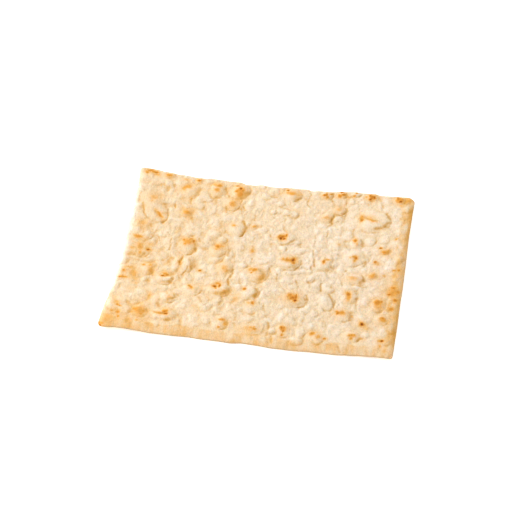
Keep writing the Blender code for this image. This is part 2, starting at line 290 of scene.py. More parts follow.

# Creases and feet of blisters, golden and with painted shade at the bottom: points along the crease, width,
# strength
creases = (
    (((-112.5, 60), (-113.5, 52), (-112, 46)), 1.0, 0.5),
    (((-109.5, 47), (-108, 42), (-105, 36), (-102, 31)), 1.0, 0.8),
    (((-90, 50), (-86.5, 42), (-85, 37)), 2.0, 0.6), (((-90, 28), (-87, 27)), 2.0, 0.5),
    (((-82, 52), (-80, 48)), 1.0, 0.8), (((-68.5, 61), (-69, 56)), 1.4, 0.8),
    (((-64, 47), (-65.5, 40), (-63.5, 34)), 2.2, 0.6), (((-57.5, 53), (-57.5, 51)), 1.8, 0.6),
    (((-87, 75), (-86.5, 72)), 1.2, 0.6), (((-95, 74), (-94, 69)), 0.8, 0.4),
    (((-97.5, 73), (-96.5, 69)), 0.8, 0.4), (((-63, 75), (-63.5, 68), (-67, 63)), 3.0, 0.2),
    (((-41, 79), (-40, 73), (-38, 70)), 1.6, 0.7), (((-48, 66), (-47, 60)), 3.0, 0.5),
    (((-23.5, 59), (-21.5, 54)), 1.2, 0.9), (((-25.5, 57), (-24.5, 51)), 1.2, 0.7),
    (((-38, 56), (-37.5, 51)), 1.4, 0.8), (((-26, 66), (-26.5, 61)), 1.2, 0.8),
    (((-20.5, 42), (-18, 34), (-17.5, 29), (-19, 25), (-21, 22)), 1.6, 1.0),
    (((-12, 50), (-11, 44)), 1.2, 0.6), (((-1, 76), (3, 75)), 1.2, 0.5),
    (((1, 54), (3, 51), (5, 49)), 1.0, 0.5), (((8, 64), (12, 62), (16, 62)), 1.0, 0.4),
    (((17, 60), (17.5, 55), (18, 52)), 2.6, 0.6), (((14.5, 50), (15, 45)), 1.5, 0.5),
    (((14.5, 40), (16, 36)), 2.0, 0.6), (((28, 79), (28, 76)), 1.2, 0.6), (((-4, 38), (-3, 33)), 1.2, 0.5),
    (((-38, 38), (-38, 31)), 2.5, 0.5), (((31, 86), (31.5, 82)), 1.5, 0.5),
    (((30, 80), (31, 72), (33, 66)), 1.5, 0.7), (((43, 73), (43.5, 69)), 2.5, 0.5),
    (((46, 80), (50, 79), (51, 82)), 1.5, 0.5), (((51, 78), (54, 73)), 1.5, 0.6),
    (((37, 53), (38, 49)), 1.2, 0.5), (((40.5, 50), (41.5, 46)), 1.2, 0.5),
    (((39, 58), (39.3, 57)), 1.2, 0.6), (((54, 61), (55, 56), (54, 52), (53, 48)), 2.0, 1.0),
    (((51.5, 47), (52, 40), (51.5, 36), (52.5, 30)), 1.0, 0.6),
    (((64, 69), (65.5, 64), (64.5, 60), (62, 60)), 2.0, 0.7), (((64, 58), (63.5, 53), (62, 50)), 1.5, 0.6),
    (((63, 47), (64, 40), (63, 36)), 1.6, 0.5), (((67, 47), (66, 42)), 1.4, 0.4),
    (((63, 80), (64, 73)), 1.6, 0.6), (((74, 45), (73, 41), (74.5, 37)), 1.5, 0.6),
    (((74, 80), (74, 76)), 1.2, 0.5), (((75, 71), (75, 68)), 1.2, 0.5),
    (((92, 85), (93, 78), (95, 75)), 1.5, 0.5), (((82, 77), (82, 75)), 1.5, 0.4),
    (((80, 61), (84, 59), (88, 57), (92, 57)), 1.6, 0.8),
    (((99, 66), (102, 60), (102, 55), (100, 51), (96, 49), (92, 47)), 2.6, 1.0),
    (((-82.5, 18), (-80.5, 15)), 1.1, 0.8), (((-88.5, 14), (-87, 9), (-86.5, 6)), 1.0, 0.4),
    (((-76.5, 11), (-77, 7), (-75.8, 3), (-77, -3)), 1.4, 0.8),
    (((-72, 29), (-72, 24), (-73, 18)), 2.4, 0.5), (((-97, 24), (-96, 21)), 1.0, 0.5),
    (((-105, 19), (-104, 16)), 1.2, 0.4), (((-53, 23), (-52.5, 19)), 1.4, 0.4),
    (((-54, 15), (-52.5, 12)), 1.2, 0.8), (((-59, 13), (-57.5, 9), (-56, 5), (-54.5, 0)), 1.8, 0.6),
    (((-57, -1), (-58, -4)), 1.0, 0.7), (((-64.5, -7), (-65, -13), (-64.5, -18)), 1.3, 0.8),
    (((-57, -10), (-55, -16), (-54, -20)), 2.8, 0.7), (((-58, -20), (-58.5, -25), (-60, -28)), 1.2, 0.8),
    (((-83, -2), (-84, -8), (-82, -10)), 2.8, 0.5), (((-74, -12), (-74, -20)), 2.4, 0.5),
    (((-95.5, -11), (-95.5, -13)), 0.8, 0.6), (((-91, 22), (-92, 15)), 1.5, 0.4),
    (((-90, 6), (-89, 2), (-92, 1)), 2.0, 0.35), (((-34.5, 28), (-33.5, 23)), 2.0, 0.4),
    (((-38, 22), (-40, 16), (-43, 14)), 3.5, 0.4),
    (((-29, 12), (-27.5, 8), (-27.5, 3), (-28, -2)), 2.3, 0.7), (((-48, 8), (-48, 4)), 2.8, 0.5),
    (((-17.5, 11), (-17, 7)), 0.8, 0.4), (((-8.5, 26), (-8, 22), (-9, 19)), 1.3, 0.6),
    (((-13, 19), (-11, 18)), 1.0, 0.4), (((-8.5, 14), (-7, 10)), 1.5, 0.5),
    (((-7, -1), (-6.5, -6)), 0.9, 0.6), (((-22, 2), (-21, -3), (-20, -7)), 1.5, 0.5),
    (((-12, -4), (-11.5, -8)), 1.5, 0.4), (((-19.5, -16), (-20, -21), (-21.5, -27), (-21, -35)), 1.6, 1.0),
    (((-42, -22), (-39, -28)), 3.0, 0.4), (((2, -14), (6, -18), (6.5, -22), (3, -25)), 2.5, 0.9),
    (((5, 29), (5.5, 27)), 1.0, 0.8), (((6.5, 19), (8.5, 15)), 1.8, 0.5),
    (((10, -10), (11, -14)), 1.1, 0.6), (((11, -7), (12.5, -9)), 1.1, 0.6),
    (((7.5, -3.5), (7.8, -4.5)), 1.5, 0.5), (((16, 10), (16.5, 6)), 1.0, 0.4),
    (((17, -16), (16.5, -20), (17, -24)), 1.4, 0.8), (((-13, -26), (-12, -31)), 1.5, 0.6),
    (((16, 18), (20, 20), (24, 23), (27, 25)), 1.6, 0.8), (((30.5, 20), (31, 18)), 1.2, 0.6),
    (((42.5, 33), (43, 27), (42.5, 20)), 1.5, 0.6),
    (((43, 16), (44, 10), (44.5, 6), (45.5, 2), (46.3, -2)), 1.5, 0.9),
    (((43, -2), (43.5, -6), (44.5, -10)), 1.3, 0.8), (((43.5, -12), (42, -12.5)), 2.5, 0.5),
    (((33, 5), (34, 0), (35, -3), (33.5, -7)), 1.7, 0.8), (((26, -7), (30, -4), (33, 0)), 2.5, 0.5),
    (((51, 26), (53, 21)), 1.0, 0.4), (((61.5, 29), (64, 26), (64.5, 22)), 1.8, 0.45),
    (((67.5, 31), (69, 26), (70.5, 21)), 1.8, 0.5), (((81, 33), (83, 29), (82.5, 26)), 1.8, 0.8),
    (((82, 24), (82, 20)), 1.2, 0.6), (((87, 9), (87, 5), (86, 3)), 2.0, 0.9),
    (((88.5, 14), (90, 10)), 1.5, 0.5), (((59, 12), (61, 6), (62.5, 0), (61, -5)), 2.4, 0.6),
    (((72, -3.5), (71.5, -4.5)), 1.5, 0.6), (((70.5, -8), (70.5, -10)), 1.4, 0.5),
    (((71, -17), (71.2, -20)), 1.7, 0.6), (((87, -10), (88.5, -14), (86, -16)), 2.0, 0.9),
    (((86, -20), (91, -20)), 1.5, 0.5), (((33.5, -21), (35.5, -29)), 1.7, 0.7),
    (((42.5, -16), (43.5, -21), (45.5, -27)), 1.7, 0.7), (((55.5, -16), (55.7, -18)), 1.8, 0.4),
    (((54, -20), (54.5, -24), (55, -29)), 1.5, 0.9), (((62, -20), (63.5, -25)), 1.6, 0.5),
    (((84, -27), (86, -32), (84, -38)), 2.6, 0.6), (((-102, -29), (-99.5, -34), (-98.5, -40)), 4.0, 0.5),
    (((-86, -29), (-85, -33)), 1.5, 0.5), (((-85.5, -40), (-87, -43)), 2.0, 0.5),
    (((-68, -33), (-68, -38), (-72, -39), (-76, -38)), 2.4, 0.8), (((-63, -30), (-62, -34)), 1.8, 0.6),
    (((-56, -32), (-56, -34)), 1.6, 0.5), (((-46, -42), (-46, -46)), 2.4, 0.6),
    (((-71, -46), (-76, -47)), 1.5, 0.35), (((-74.5, -59), (-73.5, -64), (-72, -66)), 1.7, 0.6),
    (((-63, -51), (-61.5, -54), (-64.5, -56.5), (-67, -58)), 1.8, 0.9),
    (((-76, -73), (-70, -73.5), (-65, -73.5)), 1.3, 0.7), (((-95.5, -81), (-95.5, -87)), 2.4, 0.6),
    (((-52, -73), (-54, -77), (-53, -83)), 2.4, 0.5), (((-103, -55), (-95, -54)), 1.0, 0.3),
    (((-22, -38), (-20.5, -41), (-24, -44.5), (-29, -45)), 3.2, 1.0), (((-24, -46), (-24, -50)), 1.2, 0.6),
    (((-13, -48), (-14.5, -53), (-14, -60)), 2.2, 0.5), (((-12, -64), (-9.5, -66), (-10, -70)), 1.8, 0.6),
    (((2, -36), (3, -41), (2.5, -44)), 2.3, 0.9), (((11.5, -51), (12, -55), (13, -59)), 1.2, 0.7),
    (((15, -63), (16, -66)), 1.0, 0.5), (((16.5, -71), (18, -75), (18.5, -79), (18.5, -83)), 1.7, 0.9),
    (((-43, -51), (-41, -55), (-39, -58)), 2.3, 0.7), (((-25, -54), (-24, -58), (-25, -61)), 3.2, 0.6),
    (((-44, -63), (-42, -67)), 3.0, 0.4), (((-27.5, -65), (-27, -69)), 1.8, 0.5),
    (((-39, -70), (-38, -74)), 1.5, 0.4), (((-10, -74), (-9, -76)), 1.8, 0.5),
    (((44, -36), (45.5, -41), (45, -46)), 1.5, 0.8), (((42, -43), (38, -47), (33, -49)), 2.6, 0.5),
    (((62, -33), (64.5, -37), (67, -42), (68.5, -47)), 1.3, 1.0), (((61, -36), (64, -45)), 2.0, 0.4),
    (((85.5, -42), (86, -45)), 2.0, 0.5), (((77, -43), (76.5, -47)), 1.4, 0.5),
    (((82, -51), (82.5, -56)), 2.6, 0.9), (((45, -63), (44, -69)), 2.2, 0.5),
    (((61, -62), (63.5, -66), (63.5, -71), (62, -74)), 2.2, 0.5), (((43, -54), (46, -57)), 1.4, 0.5),
    (((32, -58), (33, -63)), 1.8, 0.5), (((76.5, -87), (78, -92)), 1.4, 0.6),
    (((22, -84), (23, -90)), 1.2, 0.4),
)

# Toasted spots: middle x, y, width, height, turn in degrees, how dark (1 is nearly burnt)
toastSpots = (
    (-113, 86, 3, 3, 0, 0.4), (-109, 87.5, 8, 2.4, 0, 0.55), (-105, 86.5, 7, 2, 0, 0.62),
    (-112.5, 85, 3, 2.5, 0, 0.55), (-103, 84, 5, 2, 0, 0.4), (-93, 86, 6, 3.5, 0, 0.55),
    (-77, 84, 6, 3, 0, 0.3), (-66.5, 85.5, 4, 3, 0, 0.65), (-74.5, 76, 7, 6, 30, 0.45),
    (-77, 73, 4, 7, 0, 0.42), (-48.5, 82, 5, 4, 0, 0.55), (-49, 76.5, 5, 5, 0, 0.45),
    (-52, 83, 5, 4, 0, 0.4), (-29.5, 81, 3, 2.6, -20, 1.0), (-32.5, 84, 4, 1.6, 10, 0.7),
    (-32, 78, 4, 3, 0, 0.6), (-27, 79, 3, 2.5, 40, 0.6), (-28.5, 74, 6, 8, 0, 0.5),
    (-29, 79, 9, 10, 0, 0.45), (-33, 61.5, 7, 10, 10, 0.42), (-28, 36, 4, 3, 0, 0.45),
    (-10.5, 37, 6, 3.5, 0, 0.42), (-100.5, 56, 8, 6, 0, 0.34), (-101.5, 51.5, 2.5, 3, 0, 0.3),
    (-92, 37, 9, 3, -50, 0.55), (-70, 45, 7.6, 6, 0, 0.46), (-104, 24, 9, 8, 0, 0.32),
    (-104.5, 7.5, 8, 4, 0, 0.5), (-101, -3, 6, 10, 10, 0.4), (-99.7, -10, 4, 5, 0, 0.42),
    (-107.5, -6.5, 5, 3, 0, 0.35), (-93.5, -5.3, 3.2, 2.8, 0, 0.95), (-93, 0, 4, 3, 0, 0.3),
    (-62.8, 10.8, 9.6, 7, 0, 0.45), (-66.2, 12, 2.6, 2.8, 0, 0.56), (-60.8, 14, 3, 2, 0, 0.6),
    (-58.2, 11.5, 2, 4, 10, 0.6), (-65, 7.5, 3, 3, 0, 0.52), (-37.5, 9.2, 4, 3.6, 0, 0.64),
    (-36, 9, 8, 8, 0, 0.34), (-33.6, 9.8, 5, 2.4, 0, 0.42), (-38.5, 6, 3, 3, 0, 0.4),
    (11.5, 85.5, 2.4, 2, 0, 0.8), (15, 82, 10, 5, 0, 0.45), (21, 81, 4, 4, 0, 0.35),
    (13.5, 26.5, 2.6, 3.6, 20, 1.0), (16.5, 26, 2.8, 2, 0, 1.0), (15, 28.5, 4.6, 4.4, 0, 0.66),
    (17.6, 30, 1.6, 5, 0, 0.75), (12.5, 29, 2, 3, -20, 0.6), (27.6, 3, 3.8, 5.4, -15, 0.84),
    (24, 2, 9, 3.5, 0, 0.48), (19, 2.5, 3, 4, 0, 0.42), (22.5, 3, 2.5, 4, 0, 0.48),
    (28, -0.5, 3, 2.5, 0, 0.8), (-8, 8, 3.5, 6, 10, 0.42), (78.5, 60, 4, 9, 0, 0.42),
    (78.6, 57, 2, 3.4, 0, 0.6), (87, 58, 9, 2.4, -20, 0.45), (84, 61.5, 9, 6, 0, 0.26),
    (57.5, 68.5, 7, 6, 0, 0.34), (48.5, 57, 8, 6, 0, 0.34), (63, 26, 4, 3, 0, 0.3),
    (75.8, 32.5, 3, 4.5, 0, 0.6), (77.5, 29, 2.5, 5, 0, 0.35), (98.3, 25.5, 2.2, 1.8, 0, 0.9),
    (101, 21.5, 4, 3.5, 0, 0.52), (104.2, 23.2, 3, 3, 0, 0.4), (103, 21.4, 7.6, 7, 0, 0.42),
    (78.8, 12.3, 2.8, 4, 0, 0.72), (77.3, 14, 3, 3, 0, 0.5), (77.8, 9, 2.5, 4, 0, 0.45),
    (74.5, 12, 2.5, 2.5, 0, 0.35), (95.3, 9.2, 2.6, 2.6, 0, 0.75), (97, 7, 5, 4, 0, 0.35),
    (53, 4.2, 2.4, 4.4, -15, 0.68), (55.5, 7.2, 4, 2, 0, 0.45), (110, 37.3, 3, 3, 0, 0.42),
    (112, 1, 3.2, 2.2, 0, 0.5), (116, 1.5, 3.2, 3, 0, 0.58), (104.5, -6, 3, 2.4, 0, 0.35),
    (113.5, -6, 8, 10, 0, 0.28), (113.5, -19, 4.5, 2.5, 0, 0.65), (113, -24, 12, 13, 0, 0.42),
    (117, -23, 3.5, 4, 0, 0.52), (-94, -23, 2.8, 2.2, 0, 0.5), (-88, -22, 5, 5, 0, 0.4),
    (-87, -27, 6, 7, 0, 0.38), (-74.5, -29, 6, 3, 0, 0.5), (-76.2, -32.2, 3.4, 2, 0, 0.8),
    (-72.8, -31, 3.5, 1.6, 15, 0.7), (-65.3, -14, 2.6, 4.4, 0, 0.55), (-47.2, -21, 2.6, 2.2, 0, 0.8),
    (-51, -40.5, 5, 2.4, -50, 0.54), (-52.5, -39, 2.5, 2, 0, 0.6), (-108.7, -32.7, 2.4, 2.4, 0, 0.55),
    (-108.5, -33, 7, 6, 0, 0.3), (-100, -34, 6, 10, 20, 0.36), (-111, -40.5, 3.4, 2.2, 0, 0.72),
    (-107.5, -40, 8, 2.6, 8, 0.5), (-105, -28.5, 9, 2, 0, 0.35), (-106, -70.7, 2.4, 1.8, 0, 0.62),
    (-104, -71.3, 4, 1.4, -20, 0.5), (-107.5, -68, 5, 6, 30, 0.36), (-109.5, -78, 2, 3, 0, 0.42),
    (-104.5, -78, 4, 3.4, 0, 0.52), (-102.7, -82.5, 2, 3, 0, 0.55), (-111.5, -84, 8, 6, 0, 0.32),
    (-107, -87, 20, 12, 0, 0.2), (-112.5, -88, 8, 6, 0, 0.32), (-117, -92.8, 1.6, 4, 15, 0.62),
    (-115.6, -95.4, 3.4, 1.6, -35, 0.7), (-114.6, -93, 3.6, 3.6, 0, 0.42), (-91, -72.5, 5, 4, 0, 0.48),
    (-84, -73.5, 3, 4, 0, 0.48), (-88, -73, 12, 12, 0, 0.4), (-86, -77, 4, 3, 0, 0.45),
    (-93, -76, 3, 2, 0, 0.4), (-67, -70, 5, 4, 0, 0.56), (-65.8, -72.7, 3.2, 2.4, 0, 0.82),
    (-71, -73, 6, 2.2, 0, 0.45), (-69, -50.5, 2.5, 2, 0, 0.32), (-66, -54, 5, 4, 0, 0.32),
    (-82.5, -55.5, 3, 5, 0, 0.36), (-88, -83.5, 2.2, 2, 0, 0.42), (-25, -18, 3, 3, 0, 0.42),
    (-27, -15, 6, 10, 30, 0.33), (-28.5, -14.5, 3, 4, 0, 0.36), (-2.5, -13.5, 5, 4, 0, 0.55),
    (-4.2, -16.5, 2, 2, 0, 0.6), (-6, -13, 4, 4, 0, 0.42), (4.5, -20.5, 7, 9, -20, 0.36),
    (-32.5, -36.5, 3.6, 2.4, 0, 0.97), (-28, -35.5, 2, 3.4, 0, 0.8), (-30, -33, 5, 3, 0, 0.5),
    (-31, -38.3, 1.4, 2, 30, 0.7), (-23, -42, 8, 5, 35, 0.4), (-7.8, -36.2, 3, 3, 0, 0.72),
    (1.5, -50.5, 3, 3.6, 0, 0.55), (-1.8, -50.5, 2.5, 3.5, 0, 0.38), (-12.5, -48, 6, 8, 0, 0.27),
    (-20, -72, 6, 2.4, 0, 0.5), (-16.5, -76, 4, 6, 0, 0.42), (-21.5, -80.7, 2.6, 2.4, 0, 0.55),
    (7.5, -78.5, 4, 3, 0, 0.55), (4, -77, 3, 3, 0, 0.42), (3, -79, 12, 7, 0, 0.3),
    (6.7, -76, 1.5, 1.5, 0, 0.5), (28.6, -73.6, 3, 3.4, 35, 0.64), (30.6, -77, 2.4, 3, 0, 0.66),
    (30.3, -74.4, 6.4, 5.6, 0, 0.5), (30.2, -81, 3, 3, 0, 0.5), (30.5, -37, 5, 4, 0, 0.47),
    (35.5, -38.5, 1.6, 7, 0, 0.7), (33.6, -40, 5, 5, 0, 0.62), (35.2, -42.6, 2.6, 3.4, 0, 0.95),
    (32.4, -41.6, 3.4, 2.2, 0, 0.58), (32, -39, 9, 8, 0, 0.42), (79, -11, 10, 6, 0, 0.36),
    (77.6, -29.5, 3.4, 5, 15, 0.68), (78.2, -32.5, 4, 9, 0, 0.46), (102.2, -36, 6.6, 6.6, 0, 0.58),
    (105.2, -35, 2, 2.4, 0, 0.75), (105, -43, 6, 5, 0, 0.3), (95, -7, 8, 7, 0, 0.42),
    (96, -4.5, 2.5, 2, 0, 0.45), (110.8, -26.2, 3, 2.2, 0, 0.8), (116.3, -32.5, 3.6, 3.6, 0, 0.65),
    (114, -42.5, 4, 5, 0, 0.5), (71.5, -51.5, 2.6, 3.6, 10, 0.7), (75, -50.3, 5, 3, 0, 0.5),
    (74, -50.9, 10, 5.6, -8, 0.43), (103, -39, 9, 12, 0, 0.36), (70.5, -49.5, 3, 2, 0, 0.55),
    (92.3, -61, 2.6, 4.4, 30, 1.0), (96, -65, 5, 5, 0, 0.3), (108, -52.6, 4, 2.6, -10, 0.6),
    (108.4, -54.4, 7, 6, -30, 0.46), (85.5, -74, 7, 3.4, 0, 0.5), (85, -77, 2.4, 3.4, 0, 0.5),
    (93, -77, 5, 3, 0, 0.36), (54, -76, 5, 3.6, 20, 0.5), (59, -79, 5, 6, 0, 0.4),
    (64.5, -80.5, 2.6, 2.4, 0, 0.66), (109.7, -77.3, 2.2, 2.2, 0, 1.1), (109.2, -77, 6, 4, 0, 0.44),
    (109, -83, 3, 5, 0, 0.4), (113, -87.5, 3, 5, 0, 0.33), (43.5, 84, 3.4, 3, 0, 0.65),
    (45.3, 85, 1.6, 5, 0, 0.65), (46, 82, 3, 4, 0, 0.55), (49, 86, 3, 2, 0, 0.5), (56.5, 85, 4, 4, 0, 0.62),
    (60, 86.5, 4, 3, 0, 0.6), (58.2, 89.5, 2.4, 2, 0, 0.95), (64, 84, 5, 4, 0, 0.35),
    (68.6, 86, 2.6, 3, 0, 0.55), (70.7, 90, 2, 1.6, 0, 0.95), (82.5, 88, 3, 3, 0, 0.75),
    (83, 83.5, 2.8, 3, 0, 0.8), (86.6, 86, 1.8, 4, 0, 0.75), (84.5, 86, 7, 6, 0, 0.58),
    (79, 86, 3, 4, 0, 0.4), (107, 86.3, 2.6, 3.4, 30, 0.75), (109, 83, 2.6, 2.6, 0, 0.9),
    (108, 84.5, 8, 7, 0, 0.5), (110.5, 77.5, 3, 3, 0, 0.32), (115.5, 84, 8, 6, -20, 0.42),
)


# Smooth random hills between about -1 and 1; size is the distance between two of them
def hills(x, y, size, seed):
    reach = 140.0  # mm, beyond the bread's sides
    count = int(2 * reach / size) + 2
    turns = np.random.default_rng(seed).uniform(0, 2 * np.pi, (count, count))
    u, v = (x + reach) / size, (y + reach) / size
    i, j = u.astype(int), v.astype(int)
    f, g = u - i, v - j

    def slope(a, b):
        turn = turns[i + a, j + b]
        return np.cos(turn) * (f - a) + np.sin(turn) * (g - b)

    across = ease(f)
    low = slope(0, 0) + across * (slope(1, 0) - slope(0, 0))
    high = slope(0, 1) + across * (slope(1, 1) - slope(0, 1))
    return 1.5 * (low + ease(g) * (high - low))  # times 1.5, as the sum alone stays near 0.7


# Rounded lumps with narrow valleys between them, whose floors the 0.01 rounds
def lumps(x, y, size, seed):
    return np.sqrt(hills(x, y, size, seed) ** 2 + 0.01)


# Adds waves to the values
def waved(values, x, y, waves):
    for height, spacing, seed in waves:
        values = values + height * hills(x, y, spacing, seed)
    return values


# 1 in the middle of a soft patch, fading out over its reach
def patch(x, y, middle, reach):
    return np.exp(-((x - middle[0]) / reach[0]) ** 2 - ((y - middle[1]) / reach[1]) ** 2)


# 0 at the front left and 1 at the back right
def backRight(x, y):
    return between(x + y, *bread["diagonal"])


# How far out a point is inside a turned oval: 0 in the middle, 1 on its edge (squared)
def ovalShare(x, y, middleX, middleY, long, short, turn):
    c, s = math.cos(math.radians(turn)), math.sin(math.radians(turn))
    dx, dy = x - middleX, y - middleY
    return ((dx * c + dy * s) * 2 / long) ** 2 + ((dy * c - dx * s) * 2 / short) ** 2


# Distance in from each cut side of the flat slab
def inwards(x, y):
    halfX, halfY = bread["length"] / 2, bread["depth"] / 2
    return {"left": x + halfX, "right": halfX - x, "front": y + halfY, "back": halfY - y}


# 0 on the rim and 1 where the bands along the four sides end; the corners are round
def innerShare(inward, widths):
    sideways = np.minimum(inward["left"] / widths["left"], inward["right"] / widths["right"])
    lengthways = np.minimum(inward["front"] / widths["front"], inward["back"] / widths["back"])
    return np.clip(1 - np.hypot(1 - np.minimum(sideways, 1), 1 - np.minimum(lengthways, 1)), 0, 1)


# The smaller blisters that fill the space between those listed one by one
def smallBlisters():
    random = np.random.default_rng(bread["seed"])
    for count, longs, rises, shorter in bread["small"]:
        for _ in range(count):
            x = random.uniform(-0.5, 0.5) * bread["length"]
            y = random.uniform(-0.5, 0.5) * bread["depth"]
            long = random.uniform(*longs) - shorter * backRight(x, y)
            rise = random.uniform(*rises)
            short = long * random.uniform(*bread["smallShape"])
            turn = random.uniform(0, 180)
            if min(ovalShare(x, y, *blister[:5]) for blister in bigBlisters) > bread["clearance"]:
                yield x, y, long, short, turn, rise


# How far along X and Y a point at this thickness lies from where it seems to lie in the lists' plane
def leanBy(thickness):
    away = (thickness - bread["readAt"]) / math.tan(math.radians(view["height"]))
    side = math.radians(view["toTheRight"])
    return away * math.sin(side), -away * math.cos(side)


# Distance from each point to a bent line
def pathDistance(x, y, points):
    best = np.full(x.shape, np.inf)
    for (ax, ay), (bx, by) in zip(points, points[1:]):
        lengthSquared = (bx - ax) ** 2 + (by - ay) ** 2
        along = np.clip(((x - ax) * (bx - ax) + (y - ay) * (by - ay)) / lengthSquared, 0, 1)
        best = np.minimum(best, np.hypot(x - ax - along * (bx - ax), y - ay - along * (by - ay)))
    return best


# Height of the blisters, how much of the crust is their stretched skin, and their furrows
def blisters(x, y, wanderX, wanderY):
    leeX, leeY, _ = crust["lee"]
    piled, skin, foot = np.zeros(x.shape), np.zeros(x.shape), np.zeros(x.shape)
    for middleX, middleY, long, short, turn, rise in (*smallBlisters(), *bigBlisters):
        leanX, leanY = leanBy(bread["crumb"] + bread["outlineAt"] * rise)
        share = ovalShare(wanderX, wanderY, middleX + leanX, middleY + leanY, long, short, turn)
        domed = np.clip(1 - share, 0, 1) ** bread["dome"]
        piled += (bread["swell"] * rise * domed) ** bread["blend"]
        stretched = ease((bread["skinEdge"] - share) * bread["skinFade"])
        skin = np.maximum(skin, stretched * min(1, rise / bread["skinRise"]))
        away = (np.sqrt(share) - bread["footAt"]) * short / 2
        facing = ((x - middleX) * leeX + (y - middleY) * leeY) / (long / 2)
        allRound = bread["footAllRound"]
        furrow = np.exp(-(away / bread["footWidth"]) ** 2)
        furrow = furrow * np.clip(allRound + (1 - allRound) * facing, 0, 1)
        foot = np.maximum(foot, furrow * min(1, rise / bread["footRise"]))
    return piled ** (1 / bread["blend"]), skin, foot


# Height of the folds between the blisters, and how crumpled the dough is
def foldedDough(x, y, wanderX, wanderY):
    foldY = bread["foldStretch"] * wanderY
    middle, reach, deeper = bread["crumpled"]
    crumpled = 1 + deeper * patch(x, y, middle, reach)
    frontLeft, atBackRight = bread["puffHeight"]
    puffy = frontLeft - (frontLeft - atBackRight) * backRight(x, y)
    finer = np.zeros(x.shape)
    for tall, spacing, seed in bread["folds"]:
        finer += tall * lumps(wanderX, foldY, spacing, seed)
    folds = puffy * lumps(wanderX, foldY, *bread["puffs"]) + crumpled * finer
    start, end, lost = bread["frontSmooth"]
    return folds * (1 - lost * between(y, start, end)), crumpled


# Height of the crust above the plain crumb, how much of it is stretched skin, how deep its creases are
# (which also sets their painted shade), how far their gold and painted shade spread, and how crumpled it is
def relief(x, y):
    wanderX, wanderY = waved(x, x, y, bread["wanderX"]), waved(y, x, y, bread["wanderY"])
    height, skin, foot = blisters(x, y, wanderX, wanderY)
    leanX, leanY = leanBy(bread["crumb"] + bread["dentAt"])
    for middleX, middleY, long, short, turn, depth in dents:
        share = ovalShare(wanderX, wanderY, middleX + leanX, middleY + leanY, long, short, turn)
        height -= depth * np.exp(-bread["dentSharp"] * share)
    folds, crumpled = foldedDough(x, y, wanderX, wanderY)
    height += waved(folds * (1 - bread["foldsLostOnSkin"] * skin), x, y, bread["swells"])

    mean, gaps = bread["broken"]
    broken = waved(mean, x, y, gaps)
    creased = foot * broken * between(hills(x, y, *bread["footGaps"]), *bread["footRange"])
    height -= bread["footDepth"] * creased
    # gold and painted shade along the furrows round the blisters, then along the creases
    warmShade = creased
    tall, spacing, seed = bread["streaks"]
    streaks = tall * hills(x, bread["streakLength"] * y, spacing, seed)
    height += streaks * between(y, *bread["streaksFrom"])
    leanX, leanY = leanBy(bread["crumb"])
    for points, width, strength in creases:
        away = pathDistance(wanderX - leanX, wanderY - leanY, points)
        spread = np.exp(-bread["creaseWarmth"] * (away / width) ** 2)
        warmShade = np.maximum(warmShade, strength * broken * spread)
        stroke = strength * broken * np.exp(-bread["creaseSharp"] * (away / width) ** 2)
        creased = np.maximum(creased, stroke)
        height -= bread["creaseDepth"] * min(1, bread["creaseFull"] / width) * stroke
    lines = hills(wanderX, bread["wrinkleStretch"] * wanderY, *bread["wrinkles"])
    wrinkles = np.exp(-(lines / bread["wrinkleWidth"]) ** 2)
    wrinkles *= between(hills(x, y, *bread["wrinkleGaps"]), *bread["wrinkleRange"])
    wrinkles *= bread["wrinkleShare"] * (1 - skin)
    height -= bread["wrinkleDepth"] * wrinkles
    return height, skin, np.maximum(creased, wrinkles), warmShade, crumpled


# Height of the underside: flat in the middle, curling up to each corner's own height
def curl(x, y):
    along = (abs(x) - bread["flatHalf"]) / (bread["length"] / 2 - bread["flatHalf"])
    across = np.clip(0.5 + y / bread["depth"], 0, 1)
    corner = np.zeros(x.shape)
    for (sideX, sideY), height in bread["curl"].items():
        here = np.where(x > 0, 1, -1) == sideX
        corner += here * height * (across if sideY > 0 else 1 - across)
    return np.clip(along, 0, 1) ** 2 * corner


# How far a side stands out at each place along it, eased between the places of its list
def standsOut(side, along):
    out = np.zeros(along.shape)
    for (start, first), (end, last) in zip(bread[side], bread[side][1:]):
        here = (along > start) & (along <= end)
        out += here * (first + (last - first) * between(along, start, end))
    return out


# Rounds the corners and makes the sides uneven, less and less towards the middle
def outline(x, y):
    halfX, halfY = bread["length"] / 2, bread["depth"] / 2
    newX, newY = x.copy(), y.copy()
    for (sideX, sideY), radius in bread["corners"].items():
        a = (x * sideX - (halfX - radius)) / radius
        b = (y * sideY - (halfY - radius)) / radius
        here = (a > 0) & (b > 0)
        newX[here] = (sideX * (halfX - radius + radius * a * np.sqrt(1 - b * b / 2)))[here]
        newY[here] = (sideY * (halfY - radius + radius * b * np.sqrt(1 - a * a / 2)))[here]
    for way, sideX, sideY in ((1, "right", "back"), (-1, "left", "front")):
        newX += way * standsOut(sideX, y) * np.clip(way * x / halfX, 0, 1) ** bread["unevenIn"]
        newY += way * standsOut(sideY, x) * np.clip(way * y / halfY, 0, 1) ** bread["unevenIn"]
    return newX, newY


# Selects in edit mode the faces or edges that pass a test
def pick(piece, kind, test):
    bpy.ops.mesh.select_mode(type=kind)
    bpy.ops.mesh.select_all(action="DESELECT")
    mesh = bmesh.from_edit_mesh(piece.data)
    for part in mesh.edges if kind == "EDGE" else mesh.faces:
        part.select_set(test(part))
    mesh.select_flush_mode()
    bmesh.update_edit_mesh(piece.data)


